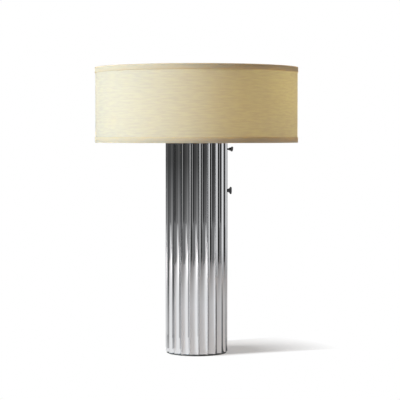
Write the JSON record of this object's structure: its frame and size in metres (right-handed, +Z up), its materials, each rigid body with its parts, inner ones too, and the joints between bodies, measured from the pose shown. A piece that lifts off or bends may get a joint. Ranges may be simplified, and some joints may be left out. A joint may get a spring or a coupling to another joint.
{
  "type": "table lamp",
  "caption": "Table lamp with a tall fluted chrome column, a wide cream cloth drum shade hung on a spider, and turn keys on the column's side for its bulbs.",
  "frame": {"origin": "middle of the felt foot, on the surface that the lamp stands on", "axes": "+Z up along the column's axis, +X along the switch shafts towards the turn keys, -Y towards the front"},
  "size_m": [0.4079, 0.408, 0.5745],
  "materials": {
    "chrome": "mirror polished chrome plate",
    "felt": "dark wool felt",
    "black_paint": "satin black paint on cast iron",
    "zinc_steel": "zinc plated steel",
    "nylon": "moulded black nylon",
    "porcelain": "glazed white porcelain",
    "brass": "plain brass",
    "bulb_metal": "rolled aluminium",
    "frosted_glass": "inside frosted glass",
    "shade_cloth": "slub woven cream cloth",
    "styrene": "matt white sheet",
    "phenolic": "moulded phenolic",
    "lead_sheath": "smooth sheath"
  },
  "bodies": {
    "lamp": {"fluted_column": "chrome", "top_cap": "chrome", "check_ring": "chrome", "neck_spacer": "chrome", "cluster_body": "chrome", "cluster_cover": "chrome", "riser_stem": "chrome", "finial": "chrome", "felt_pad": "felt", "base_plate": "black_paint", "base_washer": "zinc_steel", "base_nut": "zinc_steel", "tie_pipe": "zinc_steel", "cluster_nut": "zinc_steel", "right_nipple": "zinc_steel", "left_nipple": "zinc_steel", "bush_keeper": "zinc_steel", "upper_switch_nut": "zinc_steel", "lower_switch_nut": "zinc_steel", "cord_bush": "nylon", "right_socket_body": "porcelain", "left_socket_body": "porcelain", "right_screw_shell": "brass", "left_screw_shell": "brass", "right_centre_contact": "brass", "left_centre_contact": "brass", "upper_switch_bush": "brass", "lower_switch_bush": "brass", "upper_switch_terminals": "brass", "lower_switch_terminals": "brass", "upper_saddle_washer": "brass", "lower_saddle_washer": "brass", "right_bulb_cap": "bulb_metal", "left_bulb_cap": "bulb_metal", "right_bulb_globe": "frosted_glass", "left_bulb_globe": "frosted_glass", "upper_switch_body": "phenolic", "lower_switch_body": "phenolic", "wire_splice": "phenolic", "link_lead": "lead_sheath", "feed_lead": "lead_sheath", "right_socket_lead": "lead_sheath", "left_socket_lead": "lead_sheath"},
    "upper_key": {"upper_switch_shaft": "zinc_steel", "upper_turn_key": "chrome"},
    "lower_key": {"lower_switch_shaft": "zinc_steel", "lower_turn_key": "chrome"},
    "shade": {"spider": "zinc_steel", "top_ring": "zinc_steel", "bottom_ring": "zinc_steel", "shade_lining": "styrene", "shade_cloth": "shade_cloth", "top_trim": "shade_cloth", "bottom_trim": "shade_cloth"}
  },
  "joints": [
    {"name": "upper_key_turn", "type": "hinge", "parent": "lamp", "child": "upper_key", "pos_m": [0.06, 0, 0.411], "axis": [1, 0, 0], "continuous": true},
    {"name": "lower_key_turn", "type": "hinge", "parent": "lamp", "child": "lower_key", "pos_m": [0.06, 0, 0.3275], "axis": [1, 0, 0], "continuous": true},
    {"name": "shade_turn", "type": "hinge", "parent": "lamp", "child": "shade", "pos_m": [0, 0, 0.5519], "axis": [0, 0, 1], "continuous": true}
  ]
}
